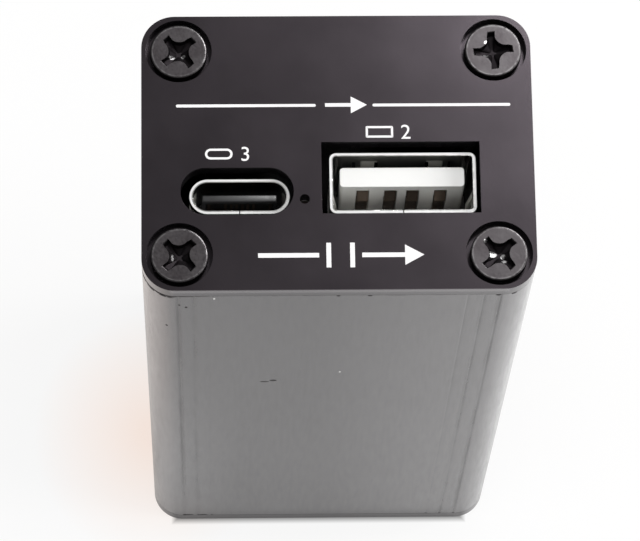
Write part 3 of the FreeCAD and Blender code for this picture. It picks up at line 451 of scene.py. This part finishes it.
FINISHES = {
    "case_aluminium": black_anodised_case(),
    "plate_black": black_anodised_plate(),
    "screw_black": black_screw_steel(),
    "print_white": plain_finish("white_ink", (0.8, 0.79, 0.79), 0.5, 0.0, 3000, 0.000004, 0.04),
    "port_steel": nickel_shell_plate(),
    "port_white": white_moulding(),
    "port_black": plain_finish("black_moulding", (0.02, 0.02, 0.021), 0.42, 0.0, 1500, 0.00001,
                               specular=0.3),
    # Painted shade: the gold flash is darkened for the contacts inside the port.
    "contact_gold": plain_finish("gold_flash_painted_shade", (0.17, 0.132, 0.108), 0.45, 1.0, 2500, 0.000004),
    "board_green": plain_finish("solder_mask", (0.015, 0.12, 0.05), 0.3, 0.0, 900, 0.00001),
    "chip_black": plain_finish("moulded_resin", (0.025, 0.025, 0.027), 0.55, 0.0, 1800, 0.00002),
    "lead_tin": plain_finish("tinned_leads", (0.75, 0.75, 0.73), 0.35, 1.0, 2200, 0.00001),
    "can_aluminium": plain_finish("bright_can", (0.85, 0.85, 0.86), 0.3, 1.0, 1500, 0.00001),
    "ferrite_grey": plain_finish("pressed_ferrite", (0.08, 0.08, 0.085), 0.6, 0.0, 1800, 0.00002),
    "ceramic_tan": plain_finish("tan_ceramic", (0.5, 0.36, 0.22), 0.45, 0.0, 1800, 0.00001),
    "lamp_white": plain_finish("white_lamp_body", (0.8, 0.8, 0.78), 0.4, 0.0, 1800, 0.00001, 0.04),
    "lamp_clear": plain_finish("tinted_lens", (0.03, 0.008, 0.008), 0.12, 0.0, 1800, 0.000005),
}

for subpart in frame["record"]["subparts"]:
    mesh = NODES[subpart["node"]].data
    mesh.materials.clear()
    mesh.materials.append(FINISHES[subpart["material_slot"]])


# Pieces

def finish_piece(shape, name, slot, smooth_below=35.0):
    """Make a bmesh a piece that rides on the case, smooth except at its sharp edges."""
    mesh = bpy.data.meshes.new(name)
    shape.to_mesh(mesh)
    shape.free()
    mesh.shade_smooth()
    mesh.set_sharp_from_angle(angle=math.radians(smooth_below))
    mesh.materials.append(FINISHES[slot])
    piece = bpy.data.objects.new(name, mesh)
    bpy.context.scene.collection.objects.link(piece)
    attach(piece, "root")
    return piece


def merged_copy(node_name):
    """A node's solid as one closed mesh, with the triangles of each flat face joined."""
    shape = bmesh.new()
    shape.from_mesh(NODES[node_name].data)
    bmesh.ops.remove_doubles(shape, verts=shape.verts, dist=0.001 * MM)
    bmesh.ops.dissolve_limit(shape, angle_limit=math.radians(1.0), use_dissolve_boundaries=False,
                             verts=shape.verts, edges=shape.edges)
    return shape


SHARP_ANGLE = 40.0


def soften(piece, width, segments=2):
    """Break the sharp edges of a piece by a small round."""
    rounds = piece.modifiers.new("edge_break", "BEVEL")
    rounds.width = width * MM
    rounds.segments = segments
    rounds.limit_method = "ANGLE"
    rounds.angle_limit = math.radians(SHARP_ANGLE)
    shading = piece.modifiers.new("flat_faces", "WEIGHTED_NORMAL")
    shading.mode = "FACE_AREA"
    shading.keep_sharp = True


def dress(node_name, slot, width, segments=2):
    """Replace a node by its own solid with softened edges."""
    piece = finish_piece(merged_copy(node_name), f"{node_name}_dressed", slot)
    soften(piece, width, segments)
    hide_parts(node_name)


def dress_blade(node_name, slot, width):
    """Replace a port's plastic by its own solid, the tip of its blade chamfered for the plug."""
    shape = merged_copy(node_name)
    tip = max(vert.co.z for vert in shape.verts)
    around = [edge for edge in shape.edges
              if all(tip - vert.co.z < 0.001 * MM for vert in edge.verts)]
    bmesh.ops.bevel(shape, geom=around, offset=width * MM, offset_type="OFFSET", segments=3,
                    profile=0.5, affect="EDGES", material=-1)
    piece = finish_piece(shape, f"{node_name}_dressed", slot)
    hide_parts(node_name)


def make_plate(node_name, outwards):
    """An end plate whose outer face lies the ink's thickness below the frame's."""
    shape = merged_copy(node_name)
    outer = max(vert.co.z * outwards for vert in shape.verts)
    for vert in shape.verts:
        if vert.co.z * outwards > outer - 0.01 * MM:
            vert.co.z -= outwards * INK_THICKNESS * MM
    piece = finish_piece(shape, f"{node_name}_dressed", "plate_black")
    soften(piece, 0.12, 3)
    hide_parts(node_name)


# The grooves' walls and floors are drawn in to a shallow vee, in millimetres.
VEE_DEPTH = 0.035
VEE_SHARE = 0.25
GROOVE_REACH = 14.5


def make_case():
    """The tube with softened edges, its fine grooves drawn in to shallow vees."""
    shape = merged_copy("case_tube")
    for vert in shape.verts:
        sunk = HALF_DEPTH - abs(vert.co.y) / MM
        across = abs(vert.co.x) / MM
        if 0.05 < sunk < 0.2 and across < GROOVE_REACH:
            middle = GROOVE_FIRST + round((across - GROOVE_FIRST) / GROOVE_PITCH) * GROOVE_PITCH
            vert.co.x = math.copysign(middle + (across - middle) * VEE_SHARE, vert.co.x) * MM
            vert.co.y = math.copysign(HALF_DEPTH - VEE_DEPTH, vert.co.y) * MM
    piece = finish_piece(shape, "case_tube_dressed", "case_aluminium")
    soften(piece, 0.09, 3)
    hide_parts("case_tube")


# The screws, in millimetres and degrees.
HEAD_RADIUS = 2.55
HEAD_HEIGHT = 1.0
SHANK_RADIUS = 1.5
SCREW_LENGTH = 7.9
RECESS_REACH = 1.79
RECESS_HALF_TIP = 0.45
RECESS_WAIST = 0.91
TIP_STEPS = 4
WALL_STEPS = 24
SCREW_TURNS = (43.0, 8.0, 47.0, 44.0)

# Loops from the recess's floor up to the head's face, each with its share of the recess's
# outline, and from there down the rounded rim, each with its distance in from the rim.
RECESS_LOOPS = ((-0.9, 0.2), (-0.75, 0.5), (-0.55, 0.86), (-0.05, 0.965), (-0.015, 0.985),
                (0.0, 1.015))
RIM_LOOPS = ((0.0, 0.15), (-0.012, 0.09), (-0.04, 0.03), (-0.1, 0.0), (-HEAD_HEIGHT, 0.0))
HEAD_SMOOTH_BELOW = 8.0


def recess_outline():
    """The cross recess's outline: flat tips with sharp corners, and walls that bow inwards."""
    tip = math.atan2(RECESS_HALF_TIP, RECESS_REACH)
    corner = math.hypot(RECESS_REACH, RECESS_HALF_TIP)
    drop = corner * math.cos(math.pi / 4 - tip) - RECESS_WAIST
    far = (corner ** 2 - RECESS_WAIST ** 2) / (2 * drop)
    wall = far - RECESS_WAIST
    quarter = []
    for step in range(TIP_STEPS):
        quarter.append((RECESS_REACH, RECESS_HALF_TIP * (2 * step / TIP_STEPS - 1)))
    for step in range(WALL_STEPS):
        angle = tip + (math.pi / 2 - 2 * tip) * step / WALL_STEPS
        off = math.pi / 4 - angle
        reach = far * math.cos(off) - math.sqrt(max(wall ** 2 - (far * math.sin(off)) ** 2, 0.0))
        quarter.append((reach * math.cos(angle), reach * math.sin(angle)))
    turns = [(1, 0), (0, 1), (-1, 0), (0, -1)]
    return [Vector((c * x - s * y, s * x + c * y, 0)) for c, s in turns for x, y in quarter]


RECESS = recess_outline()


def ring_places(height, radius=None, share=1.0):
    """A loop at a height: a circle, or the recess outline when no radius is given."""
    loop = [place * share if radius is None else place.normalized() * radius for place in RECESS]
    return [Vector((place.x, place.y, height)) for place in loop]


def next_ring(shape, ring, places):
    """Extrude a closed loop of corners to the places of the following one."""
    edges = [shape.edges.get((here, there)) for here, there in zip(ring, ring[1:] + ring[:1])]
    made = bmesh.ops.extrude_edge_only(shape, edges=edges)["geom"]
    fresh = {item for item in made if isinstance(item, bmesh.types.BMVert)}
    following = []
    for vert, place in zip(ring, places):
        partner = next(edge.other_vert(vert) for edge in vert.link_edges
                       if edge.other_vert(vert) in fresh)
        partner.co = place
        following.append(partner)
    return following


def make_screw(node_name, x, y, outwards, turn):
    """A flat-headed screw with a rounded rim and a tapered cross recess."""
    loops = [ring_places(height, share=share) for height, share in RECESS_LOOPS]
    loops += [ring_places(height, HEAD_RADIUS - inside) for height, inside in RIM_LOOPS]
    loops += [ring_places(height, SHANK_RADIUS) for height in (-HEAD_HEIGHT, -SCREW_LENGTH)]
    shape = bmesh.new()
    ring = bmesh.ops.create_circle(shape, cap_ends=True, segments=len(RECESS), radius=1.0)["verts"]
    for vert, place in zip(ring, loops[0]):
        vert.co = place
    for places in loops[1:]:
        ring = next_ring(shape, ring, places)
    bmesh.ops.contextual_create(shape, geom=ring)
    bmesh.ops.recalc_face_normals(shape, faces=shape.faces)
    place = Matrix.Rotation(math.radians(turn), 4, "Z")
    if outwards < 0:
        place = Matrix.Rotation(math.pi, 4, "Y") @ place
    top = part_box(node_name)[1 if outwards > 0 else 0].z
    place = Matrix.Translation((x * MM, y * MM, top)) @ Matrix.Diagonal((MM, MM, MM, 1.0)) @ place
    bmesh.ops.transform(shape, matrix=place, verts=shape.verts)
    piece = finish_piece(shape, f"{node_name}_dressed", "screw_black", HEAD_SMOOTH_BELOW)
    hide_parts(node_name)


def make_screws():
    for end, outwards in (("out", 1), ("in", -1)):
        for number, turn in enumerate(SCREW_TURNS, start=1):
            node_name = f"{end}_screw_{number}"
            low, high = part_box(node_name)
            middle = (low + high) / 2 / MM
            make_screw(node_name, middle.x, middle.y, outwards, turn)


# Printed marks: plain rules, arrows, port outlines and numbers, in a thin coat of ink. Their
# places and sizes are in millimetres from the plate's middle.

def ink(shape, name, x, y):
    """Lay a flat mark, drawn in millimetres round its own middle, on the out plate."""
    place = Matrix.Translation((x * MM, y * MM, (FACE - INK_THICKNESS / 2) * MM))
    place = place @ Matrix.Diagonal((MM, MM, MM, 1.0))
    bmesh.ops.transform(shape, matrix=place, verts=shape.verts)
    finish_piece(shape, name, "print_white")


def round_uprights(shape, bar, round_off, segments):
    """Round off a bar's upright edges, and return the new faces."""
    upright = [edge for edge in {edge for vert in bar for edge in vert.link_edges}
               if abs(edge.verts[0].co.z - edge.verts[1].co.z) > INK_THICKNESS / 2]
    return bmesh.ops.bevel(shape, geom=upright, offset=round_off, offset_type="OFFSET",
                           segments=segments, profile=0.5, affect="EDGES", material=-1)["faces"]


def add_bar(shape, x, y, width, height, round_off=0.0):
    """A flat bar in a mark, its upright edges rounded off."""
    bar = bmesh.ops.create_cube(shape, size=1.0)["verts"]
    bmesh.ops.scale(shape, vec=(width, height, INK_THICKNESS), verts=bar)
    if round_off:
        faces = round_uprights(shape, bar, round_off, 6)
        bar = list({vert for face in faces for vert in face.verts} |
                   {vert for vert in bar if vert.is_valid})
    bmesh.ops.translate(shape, vec=(x, y, 0), verts=bar)


def add_arrowhead(shape, x, y, length, width):
    """A flat triangle in a mark that points to the right."""
    head = bmesh.ops.create_cone(shape, cap_ends=True, segments=3, radius1=1.0, radius2=1.0,
                                 depth=INK_THICKNESS)["verts"]
    to_right = Matrix.Rotation(-math.pi / 2, 3, "Z")
    bmesh.ops.rotate(shape, cent=(0, 0, 0), matrix=to_right, verts=head)
    low = Vector(min(vert.co[axis] for vert in head) for axis in range(3))
    high = Vector(max(vert.co[axis] for vert in head) for axis in range(3))
    size = high - low
    for vert in head:
        vert.co.x = x + (vert.co.x - low.x) / size.x * length
        vert.co.y = y + (vert.co.y - (low.y + high.y) / 2) / size.y * width


def add_outline(shape, width, height, line, round_off):
    """The outline of a rounded bar in a mark, as a closed ring round its middle."""
    bar = bmesh.ops.create_cube(shape, size=1.0)["verts"]
    bmesh.ops.scale(shape, vec=(width, height, INK_THICKNESS), verts=bar)
    round_uprights(shape, bar, round_off, 8)
    caps = [face for face in shape.faces if abs(face.normal.z) > 0.9]
    bmesh.ops.inset_individual(shape, faces=caps, thickness=line, use_even_offset=True)
    rims = list({edge for face in caps for edge in face.edges})
    bmesh.ops.delete(shape, geom=caps, context="FACES_ONLY")
    bmesh.ops.bridge_loops(shape, edges=rims)


def make_rules():
    for name, left, right in (("left", -14.4, -1.9), ("right", 3.18, 15.54)):
        shape = bmesh.new()
        add_bar(shape, 0, 0, right - left, 0.27, 0.13)
        ink(shape, f"rule_{name}", (left + right) / 2, 4.39)


def make_number(text, x, y, height):
    """A plain number as a thin mesh, its middle at x and y."""
    curve = bpy.data.curves.new(f"number_{text}_outline", "FONT")
    curve.body = text
    curve.extrude = INK_THICKNESS / 2
    lettering = bpy.data.objects.new(f"number_{text}_outline", curve)
    bpy.context.scene.collection.objects.link(lettering)
    bpy.context.view_layer.update()
    mesh = bpy.data.meshes.new_from_object(lettering)
    bpy.data.objects.remove(lettering)
    shape = bmesh.new()
    shape.from_mesh(mesh)
    bpy.data.meshes.remove(mesh)
    bmesh.ops.remove_doubles(shape, verts=shape.verts, dist=0.0005)
    low = Vector(min(vert.co[axis] for vert in shape.verts) for axis in range(3))
    high = Vector(max(vert.co[axis] for vert in shape.verts) for axis in range(3))
    share = height / (high.y - low.y)
    for vert in shape.verts:
        vert.co.x = (vert.co.x - (low.x + high.x) / 2) * share
        vert.co.y = (vert.co.y - (low.y + high.y) / 2) * share
    ink(shape, f"number_{text}", x, y)


def make_marks():
    make_rules()
    shape = bmesh.new()
    add_bar(shape, -0.6, 0, 2.3, 0.34)
    add_arrowhead(shape, 0.55, 0, 1.45, 1.6)
    ink(shape, "heading_arrow", 0.68, 4.42)
    for name, x, y, height, round_off in (("small", -10.6, -0.2, 1.02, 0.5),
                                          ("large", 3.75, 1.83, 1.1, 0.12)):
        shape = bmesh.new()
        add_outline(shape, 2.45, height, 0.2, round_off)
        ink(shape, f"port_outline_{name}", x, y)
    make_number("3", -8.25, -0.2, 1.33)
    make_number("2", 6.1, 1.83, 1.34)
    shape = bmesh.new()
    for x, width, height in ((-4.6, 5.4, 0.42), (-1.05, 0.42, 2.3), (1.05, 0.42, 2.3),
                             (3.8, 3.8, 0.42)):
        add_bar(shape, x, 0, width, height)
    add_arrowhead(shape, 5.7, 0, 1.7, 1.9)
    ink(shape, "barrier_sign", 0.1, -9.76)


make_case()
make_plate("out_plate", 1)
make_plate("in_plate", -1)
make_screws()
make_marks()
dress("usb_a_shell", "port_steel", 0.14, 4)
dress("usb_c_out_shell", "port_steel", 0.14, 4)
dress("usb_c_in_shell", "port_steel", 0.14, 4)
dress("usb_a_insulator", "port_white", 0.08)
dress_blade("usb_c_out_insulator", "port_black", 0.14)
dress("usb_c_in_insulator", "port_black", 0.06)


# Floor, light and camera

FLOOR_REACH = 3.0

# The shares of the floor's own light that the camera and glossy surfaces see.
SEEN_SHARE = 0.82
MIRRORED_SHARE = 0.4


def floor_glow(finish, places, path):
    """The strength of the floor's own light: white to the camera and dark in the contact under
    the case, stronger in glossy surfaces towards both sides, as beside a bright window."""
    x, y = split(finish, places)[:2]
    sides = calculate(finish, "MAXIMUM", span(finish, x, 0.0, 0.03, 1.15, 2.45),
                      span(finish, x, -0.016, -0.042, 1.15, 2.55))
    left_corner = spot(finish, places, (-19, -19, 0), (11, 10, 5), 0.1)
    sides = calculate(finish, "ADD", sides, calculate(finish, "MULTIPLY", left_corner, 0.7))
    past_side = calculate(finish, "SUBTRACT", apart(finish, x, 0.0), CAD_BOX[1].x - 2.4 * MM)
    past_front = calculate(finish, "SUBTRACT", apart(finish, y, 0.0), CAD_BOX[1].y)
    outside = calculate(finish, "MAXIMUM", past_side, past_front)
    mirrored = calculate(finish, "MULTIPLY", sides, span(finish, outside, 0.0, 0.001, 0.35, 1.0))
    seen = span(finish, outside, -0.0001, 0.00065, 0.1, 1.0)
    return calculate(finish, "MAXIMUM",
                     calculate(finish, "MULTIPLY", path.outputs["Is Camera Ray"], seen),
                     calculate(finish, "MULTIPLY", path.outputs["Is Glossy Ray"], mirrored))


def floor_tint(finish, places, path):
    """White, with a peach-tinted painted shadow on an area at the case's left, and a peach-tinted
    glow on that side in glossy surfaces.
    """
    x = split(finish, places)[0]
    # Painted shadow: a peach tint on the floor at the case's left; glossy surfaces see a peach
    # glow on that side.
    warm_shadow_patch = spot(finish, places, (-17.5, -3.5, 0), (13, 14, 5), 0.1)
    mirrored = calculate(finish, "MULTIPLY", span(finish, x, -0.014, -0.03, 0.0, 0.6),
                         path.outputs["Is Glossy Ray"])
    warm_shade_and_glow = calculate(finish, "MAXIMUM", warm_shadow_patch, mirrored)
    return blend(finish, warm_shade_and_glow, (1.0, 1.0, 1.0), (1.0, 0.85, 0.77))


def make_floor():
    """A plain pale floor that keeps the object's shadow."""
    shape = bmesh.new()
    bmesh.ops.create_grid(shape, x_segments=1, y_segments=1, size=FLOOR_REACH)
    mesh = bpy.data.meshes.new("floor")
    shape.to_mesh(mesh)
    shape.free()
    floor = bpy.data.objects.new("floor", mesh)
    bpy.context.scene.collection.objects.link(floor)
    finish = bpy.data.materials.new("pale_floor")
    finish.use_nodes = True
    finish.node_tree.nodes.clear()
    places = node(finish, "ShaderNodeTexCoord").outputs["Object"]
    path = node(finish, "ShaderNodeLightPath")
    matt = node(finish, "ShaderNodeBsdfDiffuse")
    matt.inputs["Color"].default_value = (0.9, 0.895, 0.89, 1.0)
    glow = node(finish, "ShaderNodeEmission")
    link(finish, floor_glow(finish, places, path), glow.inputs["Strength"])
    link(finish, floor_tint(finish, places, path), glow.inputs["Color"])
    share = calculate(
        finish, "MAXIMUM",
        calculate(finish, "MULTIPLY", path.outputs["Is Camera Ray"], SEEN_SHARE),
        calculate(finish, "MULTIPLY", path.outputs["Is Glossy Ray"], MIRRORED_SHARE))
    mix = node(finish, "ShaderNodeMixShader")
    link(finish, share, mix.inputs["Fac"])
    link(finish, matt.outputs["BSDF"], mix.inputs[1])
    link(finish, glow.outputs["Emission"], mix.inputs[2])
    out = node(finish, "ShaderNodeOutputMaterial")
    link(finish, mix.outputs["Shader"], out.inputs["Surface"])
    mesh.materials.append(finish)


# The world's strength as light on the object, and as glossy surfaces see it.
WORLD_FILL = 0.85
WORLD_IN_GLOSS = 0.5


def make_world():
    """An even white studio, plain white behind the object."""
    world = bpy.data.worlds.new("studio")
    bpy.context.scene.world = world
    world.use_nodes = True
    shader = world.node_tree.nodes["Background"]
    shader.inputs["Color"].default_value = (1.0, 1.0, 1.0, 1.0)
    path = node(world, "ShaderNodeLightPath")
    seen = calculate(world, "MAXIMUM", path.outputs["Is Camera Ray"],
                     path.outputs["Is Transmission Ray"])
    less = calculate(world, "MULTIPLY", path.outputs["Is Glossy Ray"],
                     WORLD_FILL - WORLD_IN_GLOSS)
    strength = calculate(world, "SUBTRACT", span(world, seen, 0.0, 1.0, WORLD_FILL, 1.0), less)
    link(world, strength, shader.inputs["Strength"])


def add_lamp(name, place, aim, size, power, sheen_only=False):
    """A square soft white lamp, its place and size in metres, its power in watts."""
    lamp = bpy.data.lights.new(name, "AREA")
    lamp.size = size
    lamp.energy = power
    holder = bpy.data.objects.new(name, lamp)
    bpy.context.scene.collection.objects.link(holder)
    holder.location = place
    holder.rotation_euler = (Vector(aim) - Vector(place)).to_track_quat("-Z", "Y").to_euler()
    holder.visible_diffuse = not sheen_only


# The photo's camera: its turns about Y, X and Z, the shift of the plate's middle from it in
# millimetres, its focal length and the frame's width in pixels, and its sensor's width.
CAMERA_TURNS = (("Y", 0.0298), ("X", -0.3223), ("Z", 0.0158))
CAMERA_SHIFT = (1.5843, 10.6245, -348.8186)
FOCAL_PIXELS = 3914.39
FRAME_PIXELS = 640
SENSOR_WIDTH = 36.0


def make_camera():
    """The photo's viewpoint, fitted to the plate's outline, its screws and the case's corners."""
    turn = Matrix.Identity(3)
    for axis, angle in CAMERA_TURNS:
        turn = Matrix.Rotation(angle, 3, axis) @ turn
    back = turn.transposed()
    place = (-(back @ Vector(CAMERA_SHIFT)) + Vector((0, 0, FACE))) * MM
    lens = bpy.data.cameras.new("camera")
    lens.sensor_fit = "HORIZONTAL"
    lens.sensor_width = SENSOR_WIDTH
    lens.lens = SENSOR_WIDTH * FOCAL_PIXELS / FRAME_PIXELS
    lens.clip_start = 0.01
    camera = bpy.data.objects.new("camera", lens)
    bpy.context.scene.collection.objects.link(camera)
    camera.matrix_world = Matrix.Translation(place) @ back.to_4x4()
    bpy.context.scene.camera = camera


make_floor()
make_world()
add_lamp("right_window", (0.7, 0.0, 0.5), (0, 0, 0.04), 0.5, 4.8)
add_lamp("rear_sheen", (0.137, 0.216, 0.448), (0, 0, 0.078), 0.112, 3.4, sheen_only=True)
make_camera()
bpy.context.scene.view_settings.view_transform = "Standard"
